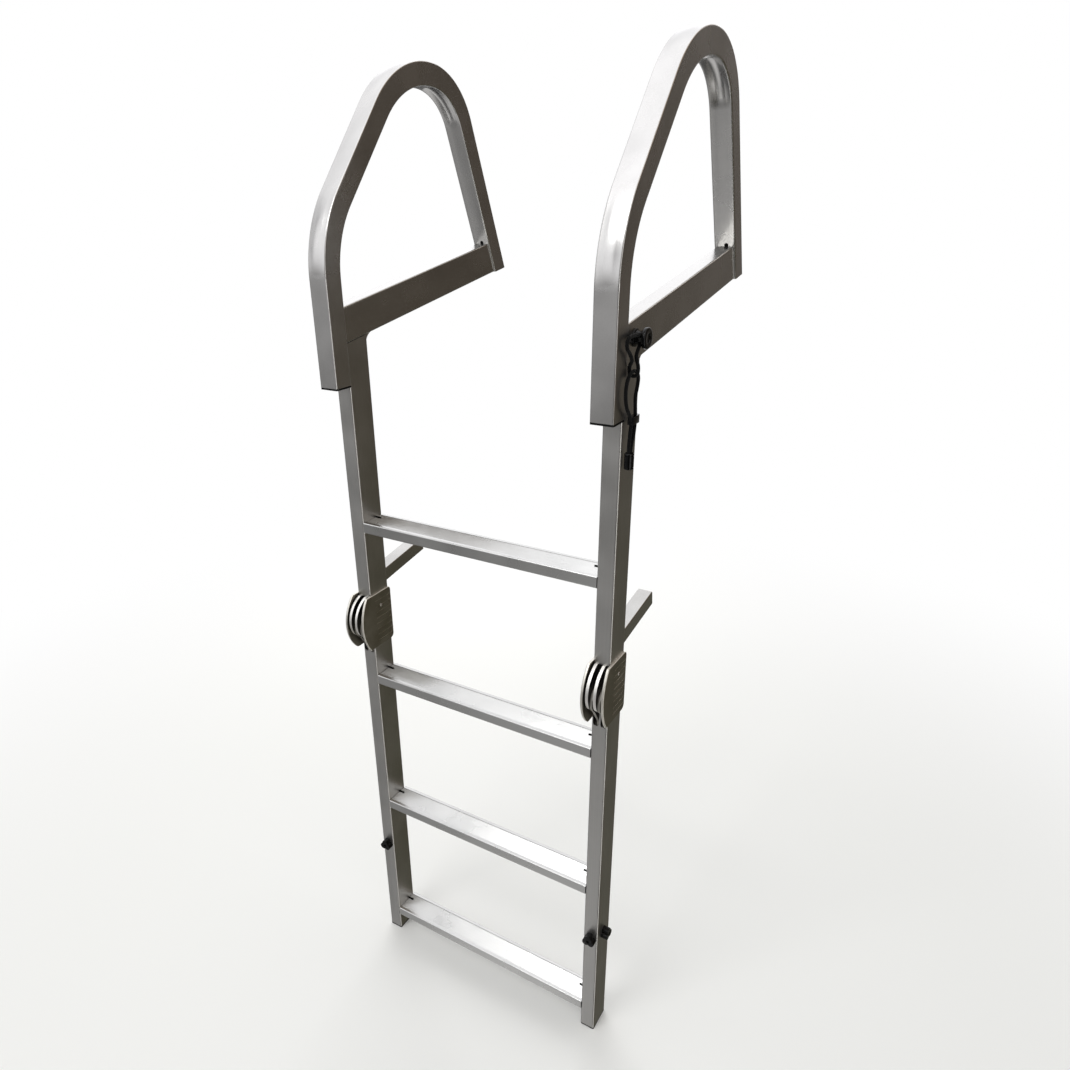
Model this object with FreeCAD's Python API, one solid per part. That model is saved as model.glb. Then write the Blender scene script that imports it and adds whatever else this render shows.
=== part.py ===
# Folding boarding ladder: two hoop handrails with deck arms, and a lower section that folds up forwards.
# Millimetres. +Z runs up the stiles, +Y goes back over the deck, +X is to the climber's right.
# The sizes are set from the foot of the stiles, and the last loop moves the origin onto the deck seat.
import FreeCAD, Part
import math
import os
from FreeCAD import Vector

# Side frames
clear_width = 448.0
stile_width = 29.0
stile_depth = 51.5
stile_wall = 2.5
stile_corner = 3.0
least_corner = 0.5
lower_stile_width = 28.2

# Treads
lowest_tread_top = 58.0
tread_pitch = 305.0
hinge_bay_pitch = 313.0
tread_height = 19.5
tread_depth = 54.5
tread_wall = 2.2
tread_lip_height = 1.2
tread_lip_depth = 7.0
tread_screw_boss = 4.6

# Deck arms and stand-off bars, both sloped by the lean of the stiles
lean_angle = 9.0
arm_height = 55.4
arm_above_tread = 306.2
arm_wall = 2.5
weld_length = 17.0
standoff_size = 25.4
standoff_wall = 2.2
standoff_corner = 2.0
standoff_above_pivot = 63.6
standoff_reach = 118.0

# Handrail hoops
hoop_size = 35.0
hoop_wall = 2.5
hoop_corner = 2.0
hoop_foot_drop = 65.2
hoop_knee_rise = 162.8
hoop_front_corner_rise = 395.4
hoop_rear_corner_rise = 386.2
hoop_front_corner_y = 181.0
hoop_rear_corner_y = 336.0
hoop_rear_foot_rise = 76.5
hoop_rear_foot_y = 468.0
hoop_knee_radius = 175.0
hoop_front_radius = 165.0
hoop_rear_radius = 112.0

# Fold-up hinge
pivot_ahead = 4.0
pivot_above_tread = 108.0
stile_gap_below_pivot = 31.0
stile_gap_above_pivot = 58.0
pin_radius = 5.0
pin_clearance = 0.08
cover_thickness = 4.2
cover_above_pivot = 62.0
cover_below_pivot = 46.0
cover_overhang = 1.5
cover_ahead = 14.0
cover_bulge = 17.0
far_cover_bulge = 23.0
far_cover_nose_round = 10.0
cover_edge_round = 1.6
cover_top_round = 7.0
cover_foot_round = 9.0
groove_count = 8
groove_pitch = 11.6
groove_width = 2.2
groove_depth = 0.9
groove_front = 8.0
groove_side_margin = 5.0
cheek_thickness = 4.8
cheek_arc_radius = 46.0
cheek_arc_y = 12.0
cheek_arc_above_pivot = 14.0
cheek_below_pivot = 13.0
cheek_nose_cut = 4.0
cheek_back_inset = 7.5
cheek_back_round = 12.0
cheek_root = 5.0
eye_thickness = 4.4
eye_radius = 24.0
eye_web_angle = math.radians(10.0)
eye_web_rise = 8.0
eye_web_top_drop = 12.0
eye_web_top_round = 6.0
eye_web_root = 4.0
hinge_side_gap = 0.4
fork_block_height = 50.0
notch_depth = 28.0
notch_land = 2.8

# Buffers, plugs and the lanyard
buffer_height = 12.0
buffer_lobe_radius = 6.6
buffer_lobe_offset = 5.6
buffer_round = 1.4
buffer_above_tread = 185.0
plug_flange = 3.0
plug_spigot = 18.0
knob_neck_radius = 9.0
knob_flange_radius = 14.0
knob_neck_length = 10.0
knob_flange_thickness = 7.0
knob_base_radius = 12.0
knob_base_thickness = 2.5
knob_round = 2.0
knob_y = 29.0
knob_above_arm = 36.8
cord_diameter = 5.0
cord_slack = 0.15
arc_share = 0.45
cinch_size = (9.0, 20.0, 11.0)
cinch_y = 16.5
cinch_z = 1218.5
cinch_round = 2.0
cinch_tab_reach = 6.0
cinch_tab_round = 1.2
barrel_radius = 6.8
barrel_height = 23.0
barrel_top = 1174.0
barrel_round = 0.9
barrel_groove_share = 0.14
barrel_groove_radius = 0.7

# Values that follow from those above
half_clear = clear_width / 2
lean = math.radians(lean_angle)
slope = math.tan(lean)
along_arm = Vector(0, math.cos(lean), math.sin(lean))
above_arm = Vector(0, -math.sin(lean), math.cos(lean))
side_slack = (stile_width - lower_stile_width) / 2
tread_tops = {
    "step_4": lowest_tread_top,
    "step_3": lowest_tread_top + tread_pitch,
    "step_2": lowest_tread_top + 2 * tread_pitch,
    "step_1": lowest_tread_top + 2 * tread_pitch + hinge_bay_pitch,
}
pivot_y = -pivot_ahead
pivot_z = tread_tops["step_2"] + pivot_above_tread
lower_stile_top = pivot_z - stile_gap_below_pivot
upper_stile_bottom = pivot_z + stile_gap_above_pivot
cover_top = pivot_z + cover_above_pivot
cover_bottom = pivot_z - cover_below_pivot
cover_back = stile_depth + cover_overhang
cover_front = -cover_ahead
cheek_arc_z = pivot_z + cheek_arc_above_pivot
cheek_low = pivot_z - cheek_below_pivot
cheek_back = stile_depth - cheek_back_inset
notch_bottom = lower_stile_top - notch_depth
standoff_front_bottom = pivot_z + standoff_above_pivot
arm_front_bottom = tread_tops["step_1"] + arm_above_tread
hoop_bottom = arm_front_bottom - hoop_foot_drop
hoop_front_corner = (hoop_front_corner_y, arm_front_bottom + hoop_front_corner_rise)
hoop_rear_corner = (hoop_rear_corner_y, arm_front_bottom + hoop_rear_corner_rise)
hoop_rear_foot = (hoop_rear_foot_y, arm_front_bottom + hoop_rear_foot_rise)
buffer_z = lowest_tread_top + buffer_above_tread
knob_z = arm_front_bottom + knob_above_arm
# Low-X faces of the stiles, and of the wider hoops that stand midway in front of them
stile_start = {"left": -half_clear - stile_width, "right": half_clear}
hoop_overhang = (hoop_size - stile_width) / 2
hoop_start = {side: start - hoop_overhang for side, start in stile_start.items()}
outward = {"left": -1, "right": 1}
knob_x_face = stile_start["right"] + stile_width
seat_y = 250.0
seat_point = Vector(half_clear + stile_width / 2, seat_y, arm_front_bottom + slope * seat_y)
far = 1000.0
cut_over = 1.0


def arm_bottom(y):
    return arm_front_bottom + slope * y


def rounded_wire(points, radii, closed):
    """Join points by straight runs, with a tangent arc at each point that has a radius."""
    count = len(points)
    edges = []
    starts = {}
    ends = {}
    for index, (point, radius) in enumerate(zip(points, radii)):
        inside = closed or 0 < index < count - 1
        if not inside or radius <= 0:
            starts[index] = ends[index] = point
            continue
        before = (points[index - 1] - point).normalize()
        after = (points[(index + 1) % count] - point).normalize()
        half_angle = before.getAngle(after) / 2
        setback = radius / math.tan(half_angle)
        centre = point + (before + after).normalize() * (radius / math.sin(half_angle))
        middle = centre + (point - centre).normalize() * radius
        starts[index] = point + before * setback
        ends[index] = point + after * setback
        edges.append((index, Part.Arc(starts[index], middle, ends[index]).toShape()))
    arcs = dict(edges)
    ordered = []
    last = count if closed else count - 1
    for index in range(count):
        if index in arcs:
            ordered.append(arcs[index])
        if index < last:
            following = (index + 1) % count
            if (ends[index] - starts[following]).Length > 1e-6:
                ordered.append(Part.makeLine(ends[index], starts[following]))
    return Part.Wire(ordered)


def side_plate(corners, x_low, thickness):
    """Extrude along X an outline given as (y, z, radius) corners."""
    points = [Vector(x_low, y, z) for y, z, _ in corners]
    wire = rounded_wire(points, [radius for _, _, radius in corners], True)
    return Part.Face(wire).extrude(Vector(thickness, 0, 0))


def rectangle_wire(origin, across, up, width, height, radius):
    """Rounded rectangle whose low corner is origin, spanned by two unit vectors."""
    corners = [
        origin,
        origin + across * width,
        origin + across * width + up * height,
        origin + up * height,
    ]
    return rounded_wire(corners, [radius] * 4, True)


def box_tube(origin, across, up, along, width, height, length, wall, radius):
    outer = Part.Face(rectangle_wire(origin, across, up, width, height, radius)).extrude(along * length)
    inner_origin = origin + across * wall + up * wall
    inner_radius = max(radius - wall, least_corner)
    inner_wire = rectangle_wire(inner_origin, across, up, width - 2 * wall, height - 2 * wall, inner_radius)
    return outer.cut(Part.Face(inner_wire).extrude(along * length))


def cylinder_x(radius, x_low, length, y, z):
    return Part.makeCylinder(radius, length, Vector(x_low, y, z), Vector(1, 0, 0))


def make_stile(x_low, width, bottom, top):
    return box_tube(Vector(x_low, 0, bottom), Vector(1, 0, 0), Vector(0, 1, 0), Vector(0, 0, 1),
                    width, stile_depth, top - bottom, stile_wall, stile_corner)


def stile_block(x_low, width, bottom):
    """Solid block that fills the hollow of a stile of that width."""
    corner = Vector(x_low + stile_wall, stile_wall, bottom)
    outline = rectangle_wire(corner, Vector(1, 0, 0), Vector(0, 1, 0), width - 2 * stile_wall,
                             stile_depth - 2 * stile_wall, max(stile_corner - stile_wall, least_corner))
    return Part.Face(outline).extrude(Vector(0, 0, fork_block_height))


def upper_stile(side):
    """Stile from the hinge to the arm's underside."""
    x_low = stile_start[side]
    stile = make_stile(x_low, stile_width, upper_stile_bottom, arm_bottom(stile_depth))
    over_arm = side_plate([(-cut_over, arm_bottom(-cut_over), 0), (far, arm_bottom(far), 0),
                           (-cut_over, arm_bottom(far), 0)], x_low - cut_over, stile_width + 2 * cut_over)
    return stile.cut(over_arm)


def arm_weld(side):
    """Hollow fillet of weld between the stile's back and the arm's underside."""
    corner = Vector(stile_start[side] + stile_corner, stile_depth, arm_bottom(stile_depth))
    arm_end = corner + along_arm * weld_length
    stile_end = corner - Vector(0, 0, weld_length)
    opening_angle = math.radians(90 + lean_angle)
    round_radius = weld_length * math.tan(opening_angle / 2)
    bisector = (along_arm - Vector(0, 0, 1)).normalize()
    centre = corner + bisector * (round_radius / math.sin(opening_angle / 2))
    hollow = Part.Arc(stile_end, centre - bisector * round_radius, arm_end).toShape()
    outline = Part.Wire([Part.makeLine(arm_end, corner), Part.makeLine(corner, stile_end), hollow])
    return Part.Face(outline).extrude(Vector(stile_width - 2 * stile_corner, 0, 0))


def hoop_path(x_middle):
    """Centre line of the hoop, from the foot of its front leg to past the arm's underside."""
    middle_y = -hoop_size / 2
    rear_run = Vector(0, hoop_rear_foot[0] - hoop_rear_corner[0], hoop_rear_foot[1] - hoop_rear_corner[1])
    rear_end = Vector(x_middle, *hoop_rear_foot) + rear_run.normalize() * hoop_size
    points = [
        Vector(x_middle, middle_y, hoop_bottom),
        Vector(x_middle, middle_y, arm_front_bottom + hoop_knee_rise),
        Vector(x_middle, *hoop_front_corner),
        Vector(x_middle, *hoop_rear_corner),
        rear_end,
    ]
    return rounded_wire(points, [0, hoop_knee_radius, hoop_front_radius, hoop_rear_radius, 0], False)


def hoop_solid(x_low, inset):
    size = hoop_size - 2 * inset
    radius = max(hoop_corner - inset, least_corner)
    origin = Vector(x_low + inset, -hoop_size + inset, hoop_bottom)
    profile = rectangle_wire(origin, Vector(1, 0, 0), Vector(0, 1, 0), size, size, radius)
    return hoop_path(x_low + hoop_size / 2).makePipeShell([profile], True, False)


def handrail(side):
    """Bent square tube, cut off level with the underside of the arm."""
    x_low = hoop_start[side]
    hoop = hoop_solid(x_low, 0).cut(hoop_solid(x_low, hoop_wall))
    under_arm = side_plate([(stile_depth, arm_bottom(stile_depth), 0), (far, arm_bottom(far), 0),
                            (far, arm_bottom(0) - far, 0), (stile_depth, arm_bottom(0) - far, 0)],
                           x_low - cut_over, hoop_size + 2 * cut_over)
    return hoop.cut(under_arm)


def rear_leg_line():
    """Point and direction of the rear leg's front face, seen from the side."""
    run_y = hoop_rear_foot[0] - hoop_rear_corner[0]
    run_z = hoop_rear_foot[1] - hoop_rear_corner[1]
    length = math.hypot(run_y, run_z)
    normal_y, normal_z = run_z / length, -run_y / length
    start_y = hoop_rear_corner[0] + normal_y * hoop_size / 2
    start_z = hoop_rear_corner[1] + normal_z * hoop_size / 2
    return start_y, start_z, run_y / length, run_z / length


def deck_arm(side):
    """Sloped tube between the hoop's front leg and its rear leg, with the weld to the stile under it."""
    x_low = stile_start[side]
    start = Vector(x_low, 0, arm_front_bottom) - along_arm * arm_height
    tube = box_tube(start, Vector(1, 0, 0), above_arm, along_arm, stile_width, arm_height, far,
                    arm_wall, stile_corner)
    leg_y, leg_z, run_y, run_z = rear_leg_line()
    trim = side_plate([(0, 0, 0), (0, 2 * far, 0),
                       (leg_y - run_y * far, leg_z - run_z * far, 0),
                       (leg_y + run_y * far, leg_z + run_z * far, 0)], x_low - cut_over,
                      stile_width + 2 * cut_over)
    return tube.common(trim).fuse(arm_weld(side))


def standoff_bar(side):
    """Square bar that keeps the stile off the dock's face, level with the arms."""
    x_low = stile_start[side] + (stile_width - standoff_size) / 2
    start = Vector(x_low, 0, standoff_front_bottom)
    length = (stile_depth + standoff_reach) / math.cos(lean)
    bar = box_tube(start, Vector(1, 0, 0), above_arm, along_arm, standoff_size, standoff_size, length,
                   standoff_wall, standoff_corner)
    behind_stile = Part.makeBox(stile_width, far, far, Vector(stile_start[side], stile_depth, upper_stile_bottom))
    return bar.common(behind_stile)


def tread(name):
    """Hollow tread with a raised front lip, a middle web and two screw bosses."""
    top = tread_tops[name]
    bottom = top - tread_height
    start = Vector(-half_clear, 0, bottom)
    outer = Part.Face(rectangle_wire(start, Vector(0, 1, 0), Vector(0, 0, 1), tread_depth, tread_height, 2.0))
    body = outer.extrude(Vector(clear_width, 0, 0))
    cell = (tread_depth - 3 * tread_wall) / 2
    for index in range(2):
        cell_start = start + Vector(0, tread_wall + index * (cell + tread_wall), tread_wall)
        hollow = rectangle_wire(cell_start, Vector(0, 1, 0), Vector(0, 0, 1), cell,
                                tread_height - 2 * tread_wall - tread_lip_height, 1.0)
        body = body.cut(Part.Face(hollow).extrude(Vector(clear_width, 0, 0)))
        boss_y = cell_start.y + cell / 2
        boss_z = bottom + tread_wall + tread_screw_boss - 0.6
        boss = cylinder_x(tread_screw_boss, -half_clear, clear_width, boss_y, boss_z)
        body = body.fuse(boss.cut(cylinder_x(tread_screw_boss / 2, -half_clear, clear_width, boss_y, boss_z)))
    recess = Part.makeBox(clear_width, tread_depth - 2 * tread_lip_depth, tread_lip_height,
                          Vector(-half_clear, tread_lip_depth, top - tread_lip_height))
    return body.cut(recess)


def hinge_cover(side, way):
    """Bulged plate over the hinge, with level grooves; way is 1 on the +X face and -1 on the other.

    The plates on the -X faces bulge further and have a round lower nose.
    """
    face_x = stile_start[side] + (stile_width if way > 0 else 0)
    x_low = face_x if way > 0 else face_x - cover_thickness
    middle_z = (cover_top + cover_bottom) / 2
    half_height = (cover_top - cover_bottom) / 2
    bulge = cover_bulge if way > 0 else far_cover_bulge
    front_arc = Part.Arc(Vector(x_low, cover_front, cover_top),
                         Vector(x_low, cover_front - bulge, middle_z),
                         Vector(x_low, cover_front, cover_bottom)).toShape()
    back = rounded_wire([Vector(x_low, cover_front, cover_bottom), Vector(x_low, cover_back, cover_bottom),
                         Vector(x_low, cover_back, cover_top), Vector(x_low, cover_front, cover_top)],
                        [0, cover_foot_round, cover_top_round, 0], False)
    plate = Part.Face(Part.Wire([front_arc] + back.Edges)).extrude(Vector(cover_thickness, 0, 0))
    if way < 0:
        nose = [edge for edge in plate.Edges
                if all(abs(vertex.Point.y - cover_front) + abs(vertex.Point.z - cover_bottom) < 1e-6
                       for vertex in edge.Vertexes)]
        plate = plate.makeFillet(far_cover_nose_round, nose)
    outer_x = face_x + way * cover_thickness
    rim = [edge for edge in plate.Edges
           if all(abs(vertex.Point.x - outer_x) < 1e-6 for vertex in edge.Vertexes)]
    plate = plate.makeFillet(cover_edge_round, rim)
    groove_x = outer_x - groove_depth if way > 0 else outer_x
    first = middle_z - groove_pitch * (groove_count - 1) / 2
    groove_length = cover_back - groove_side_margin - groove_front
    for index in range(groove_count):
        low = first + index * groove_pitch - groove_width / 2
        plate = plate.cut(Part.makeBox(groove_depth, groove_length, groove_width,
                                       Vector(groove_x, groove_front, low)))
    return plate


def hinge_stack(side):
    """Low-X faces of the two cheeks and the two eyes, side by side inside the stile."""
    first_cheek = stile_start[side] + side_slack + stile_wall + hinge_side_gap
    first_eye = first_cheek + cheek_thickness + hinge_side_gap
    second_cheek = first_eye + eye_thickness + hinge_side_gap + notch_land + hinge_side_gap
    second_eye = second_cheek + cheek_thickness + hinge_side_gap
    return first_cheek, first_eye, second_cheek, second_eye


def hinge_cheeks(side):
    """Two bulged cheeks on a block that fills the foot of the upper stile."""
    top_z = upper_stile_bottom - hinge_side_gap
    nose_z = cheek_low + cheek_nose_cut
    root_z = upper_stile_bottom + cheek_root
    root_y = stile_wall + least_corner
    top_y = cheek_arc_y - math.sqrt(cheek_arc_radius ** 2 - (top_z - cheek_arc_z) ** 2)
    nose_y = cheek_arc_y - math.sqrt(cheek_arc_radius ** 2 - (cheek_arc_z - nose_z) ** 2)
    solid = stile_block(stile_start[side], stile_width, upper_stile_bottom)
    for x_cheek in (hinge_stack(side)[0], hinge_stack(side)[2]):
        front = Part.Arc(Vector(x_cheek, top_y, top_z),
                         Vector(x_cheek, cheek_arc_y - cheek_arc_radius, cheek_arc_z),
                         Vector(x_cheek, nose_y, nose_z)).toShape()
        rest = rounded_wire([Vector(x_cheek, nose_y, nose_z),
                             Vector(x_cheek, nose_y + cheek_nose_cut, cheek_low),
                             Vector(x_cheek, cheek_back, cheek_low),
                             Vector(x_cheek, cheek_back, root_z),
                             Vector(x_cheek, root_y, root_z),
                             Vector(x_cheek, root_y, top_z),
                             Vector(x_cheek, top_y, top_z)],
                            [0, 0, cheek_back_round, 0, 0, 0, 0], False)
        cheek = Part.Face(Part.Wire([front] + rest.Edges)).extrude(Vector(cheek_thickness, 0, 0))
        solid = solid.fuse(cheek)
    return solid.cut(cylinder_x(pin_radius, stile_start[side], stile_width, pivot_y, pivot_z))


def hinge_eyes(side):
    """Two round-nosed eyes on a block that fills the head of the lower stile."""
    block_top = notch_bottom - eye_web_root
    root_z = block_top - eye_web_root
    web_front = stile_wall + least_corner
    web_back = stile_depth - stile_wall - least_corner
    solid = stile_block(stile_start[side] + side_slack, lower_stile_width, block_top - fork_block_height)
    for x_eye in (hinge_stack(side)[1], hinge_stack(side)[3]):
        nose = cylinder_x(eye_radius, x_eye, eye_thickness, pivot_y, pivot_z)
        tangent_y = pivot_y - eye_radius * math.cos(eye_web_angle)
        tangent_z = pivot_z - eye_radius * math.sin(eye_web_angle)
        web = side_plate([(tangent_y, tangent_z, 0), (pivot_y + eye_radius / 2, pivot_z, 0),
                          (web_back, lower_stile_top - eye_web_top_drop, eye_web_top_round),
                          (web_back, root_z, 0), (web_front, root_z, 0),
                          (web_front, notch_bottom + eye_web_rise, 0)], x_eye, eye_thickness)
        solid = solid.fuse(nose.fuse(web))
    return solid.cut(cylinder_x(pin_radius + pin_clearance, stile_start[side], stile_width, pivot_y, pivot_z))


def lower_stile(side):
    """Stile of the folding section, its front wall notched so that cheeks and eyes can pass."""
    x_low = stile_start[side] + side_slack
    stile = make_stile(x_low, lower_stile_width, 0, lower_stile_top)
    first_cheek, first_eye, second_cheek, second_eye = hinge_stack(side)
    for notch_low, notch_high in ((first_cheek - hinge_side_gap, first_eye + eye_thickness + hinge_side_gap),
                                  (second_cheek - hinge_side_gap, second_eye + eye_thickness + hinge_side_gap)):
        half = (notch_high - notch_low) / 2
        middle = (notch_high + notch_low) / 2
        floor_z = notch_bottom + half
        cut_depth = stile_wall + 2 * cut_over
        slot = Part.makeBox(2 * half, cut_depth, lower_stile_top - floor_z + cut_over,
                            Vector(notch_low, -cut_over, floor_z))
        foot = Part.makeCylinder(half, cut_depth, Vector(middle, -cut_over, floor_z), Vector(0, 1, 0))
        stile = stile.cut(slot.fuse(foot))
    return stile


def end_plug(x_low, y_low, width, depth, wall, corner, face_z, upward):
    """Black end plug: a flange over the tube's end and a spigot inside it."""
    flange_z = face_z - plug_flange
    flange = Part.Face(rectangle_wire(Vector(x_low, y_low, flange_z), Vector(1, 0, 0), Vector(0, 1, 0),
                                      width, depth, corner)).extrude(Vector(0, 0, plug_flange))
    inner = rectangle_wire(Vector(x_low + wall, y_low + wall, face_z), Vector(1, 0, 0), Vector(0, 1, 0),
                           width - 2 * wall, depth - 2 * wall, max(corner - wall, least_corner))
    return flange.fuse(Part.Face(inner).extrude(Vector(0, 0, upward)))


def three_lobe_buffer(centre, axis):
    """Rubber buffer with three lobes, standing on the face at centre and pointing along axis."""
    lobes = None
    side_way = Vector(1, 0, 0) if abs(axis.x) < 0.5 else Vector(0, 1, 0)
    for index in range(3):
        turn = FreeCAD.Rotation(axis, 90 + 120 * index)
        middle = centre + turn.multVec(side_way) * buffer_lobe_offset
        lobe = Part.makeCylinder(buffer_lobe_radius, buffer_height, middle, axis)
        lobes = lobe if lobes is None else lobes.fuse(lobe)
    lobes = lobes.removeSplitter()
    far_face = centre + axis * buffer_height
    rim = [edge for edge in lobes.Edges
           if all(abs((vertex.Point - far_face).dot(axis)) < 1e-6 for vertex in edge.Vertexes)]
    return lobes.makeFillet(buffer_round, rim)


def lanyard_knob():
    """Flanged knob that holds the lanyard, on the outer face of the right frame."""
    base = cylinder_x(knob_base_radius, knob_x_face, knob_base_thickness, knob_y, knob_z)
    head_x = knob_x_face + knob_base_thickness + knob_neck_length
    neck = cylinder_x(knob_neck_radius, knob_x_face, head_x - knob_x_face + knob_flange_thickness / 2,
                      knob_y, knob_z)
    head = cylinder_x(knob_flange_radius, head_x, knob_flange_thickness, knob_y, knob_z)
    rims = [edge for edge in head.Edges if len(edge.Vertexes) == 1]
    return base.fuse(neck).fuse(head.makeFillet(knob_round, rims))


def cord_path(points):
    """Cord's centre line: straight runs with arcs as large as their runs allow."""
    radii = [0]
    for index in range(1, len(points) - 1):
        before = points[index - 1] - points[index]
        after = points[index + 1] - points[index]
        turn = math.pi - before.getAngle(after)
        radii.append(arc_share * min(before.Length, after.Length) / math.tan(turn / 2))
    radii.append(0)
    print("bend radii", [round(radius, 1) for radius in radii[1:-1]])
    return rounded_wire(points, radii, False)


def cord_tube(points, diameter):
    path = cord_path(points)
    circle = Part.Circle(points[0], points[1] - points[0], diameter / 2).toShape()
    tube = path.makePipeShell([Part.Wire(circle)], True, False)
    section = math.pi * (diameter / 2) ** 2
    print("cord length", round(path.Length, 1), "volume over section times length",
          round(tube.Volume / section / path.Length, 4))
    return tube


# The hitch leaves the knob's neck forwards, drops, passes under the top of the loop and comes back up.
hitch_route = [
    (262.5, 24, 1329), (262.5, 8, 1331), (262.5, -17, 1331), (262, -19, 1318), (262, -6, 1309), (262.5, 1.5, 1299),
    (256.4, 6, 1291), (256.4, 8.5, 1278.2), (267.6, 8.5, 1278.2), (267.6, 11, 1291), (262.5, 11.5, 1302),
    (262.5, 18, 1311), (262.5, 25, 1318),
]
# The loop leaves the barrel, runs through the cinch, over the hitch and back down.
loop_route = [
    (262, 5.4, 1170), (262, 5, 1184), (262, 6.5, 1201), (262, 10, 1216), (262, 2, 1228), (262, -10, 1240),
    (262, -15, 1257), (262, -13, 1274), (262, -1, 1284.5), (262, 16, 1284.5), (262, 27, 1275), (262, 24, 1261),
    (262, 18.5, 1250), (262, 20.5, 1236), (262, 22.5, 1223), (262, 22.5, 1210), (262, 20, 1196),
    (262, 13, 1184), (262, 11.6, 1170),
]


def lanyard_hitch():
    """Short bight of cord whose two ends are held in the knob's neck."""
    tube = cord_tube([Vector(*point) for point in hitch_route], cord_diameter)
    return tube.cut(cylinder_x(knob_neck_radius, knob_x_face, knob_neck_length * 2, knob_y, knob_z))


def lanyard_loop():
    return cord_tube([Vector(*point) for point in loop_route], cord_diameter)


def loop_bore():
    return cord_tube([Vector(*point) for point in loop_route], cord_diameter + 2 * cord_slack)


def lanyard_cinch():
    """Flat toggle that slides on the loop's two strands, with a small thumb tab at its back."""
    width, depth, height = cinch_size
    corner = Vector(loop_route[0][0] - width / 2, cinch_y - depth / 2, cinch_z - height / 2)
    body = Part.makeBox(width, depth, height, corner)
    body = body.makeFillet(cinch_round, body.Edges)
    tab_corner = corner + Vector(width / 4, depth - cinch_round, height / 2)
    tab = Part.makeBox(width / 2, cinch_tab_reach, height, tab_corner)
    tab = tab.makeFillet(cinch_tab_round, tab.Edges)
    return body.fuse(tab).cut(loop_bore())


def lanyard_barrel():
    """Barrel that both ends of the loop are fixed in, with a turned groove near each end."""
    middle_y = (loop_route[0][1] + loop_route[-1][1]) / 2
    axis_foot = Vector(loop_route[0][0], middle_y, barrel_top - barrel_height)
    barrel = Part.makeCylinder(barrel_radius, barrel_height, axis_foot, Vector(0, 0, 1))
    rims = [edge for edge in barrel.Edges if len(edge.Vertexes) == 1]
    barrel = barrel.makeFillet(barrel_round, rims)
    for share in (barrel_groove_share, 1 - barrel_groove_share):
        ring = Part.makeTorus(barrel_radius, barrel_groove_radius, axis_foot + Vector(0, 0, barrel_height * share))
        barrel = barrel.cut(ring)
    return barrel.cut(loop_bore())


parts = {}
for side in ("left", "right"):
    x_stile = stile_start[side]
    parts[side + "_handrail"] = handrail(side)
    parts[side + "_handrail_plug"] = end_plug(hoop_start[side], -hoop_size, hoop_size, hoop_size, hoop_wall,
                                              hoop_corner, hoop_bottom, plug_spigot)
    parts[side + "_deck_arm"] = deck_arm(side)
    parts[side + "_upper_stile"] = upper_stile(side)
    parts[side + "_standoff_bar"] = standoff_bar(side)
    parts[side + "_hinge_cheeks"] = hinge_cheeks(side)
    parts[side + "_hinge_eyes"] = hinge_eyes(side)
    parts[side + "_hinge_pin"] = cylinder_x(pin_radius, x_stile, stile_width, pivot_y, pivot_z)
    outer_way = outward[side]
    parts[side + "_outer_hinge_cover"] = hinge_cover(side, outer_way)
    parts[side + "_inner_hinge_cover"] = hinge_cover(side, -outer_way)
    parts[side + "_lower_stile"] = lower_stile(side)
    parts[side + "_foot_plug"] = end_plug(x_stile + side_slack, 0, lower_stile_width, stile_depth, stile_wall,
                                          stile_corner, 0, plug_spigot)
    parts[side + "_buffer"] = three_lobe_buffer(Vector(x_stile + stile_width / 2, 0, buffer_z), Vector(0, -1, 0))
for name in tread_tops:
    parts[name] = tread(name)
parts["lanyard_catch"] = three_lobe_buffer(
    Vector(stile_start["right"] + stile_width - side_slack, stile_depth / 2, buffer_z), Vector(1, 0, 0))
parts["lanyard_knob"] = lanyard_knob()
parts["lanyard_hitch"] = lanyard_hitch()
parts["lanyard_loop"] = lanyard_loop()
parts["lanyard_cinch"] = lanyard_cinch()
parts["lanyard_barrel"] = lanyard_barrel()

os.makedirs("parts", exist_ok=True)
for name, shape in parts.items():
    shape.translate(-seat_point)
    shape.exportStep(os.path.join("parts", name + ".step"))
    print(name, "solids", len(shape.Solids), "valid", shape.isValid(), "volume", round(shape.Volume))
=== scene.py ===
# Folding boarding ladder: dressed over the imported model, which is in metres.
import math

import bmesh
import bpy
from mathutils import Euler, Matrix, Vector


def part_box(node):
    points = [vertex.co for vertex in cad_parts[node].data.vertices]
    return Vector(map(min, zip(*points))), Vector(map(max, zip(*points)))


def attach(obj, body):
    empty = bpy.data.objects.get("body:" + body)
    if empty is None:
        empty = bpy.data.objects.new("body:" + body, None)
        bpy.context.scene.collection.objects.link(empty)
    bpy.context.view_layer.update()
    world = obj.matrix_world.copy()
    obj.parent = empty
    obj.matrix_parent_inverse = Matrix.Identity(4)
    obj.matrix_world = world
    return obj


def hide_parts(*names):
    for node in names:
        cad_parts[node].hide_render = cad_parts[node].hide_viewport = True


mm = 0.001
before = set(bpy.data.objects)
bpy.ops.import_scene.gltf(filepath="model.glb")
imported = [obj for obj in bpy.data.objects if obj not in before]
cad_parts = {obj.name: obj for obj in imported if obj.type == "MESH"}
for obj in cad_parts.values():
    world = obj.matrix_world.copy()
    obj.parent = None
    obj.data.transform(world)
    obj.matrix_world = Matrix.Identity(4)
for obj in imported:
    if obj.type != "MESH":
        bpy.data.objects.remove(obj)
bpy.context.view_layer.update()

# Places are in mm from the ladder's middle, the stiles' front faces and the lower stiles' ends.
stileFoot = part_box("right_lower_stile")[0]
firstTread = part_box("step_1")
middleX = (firstTread[0].x + firstTread[1].x) / 2


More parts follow.
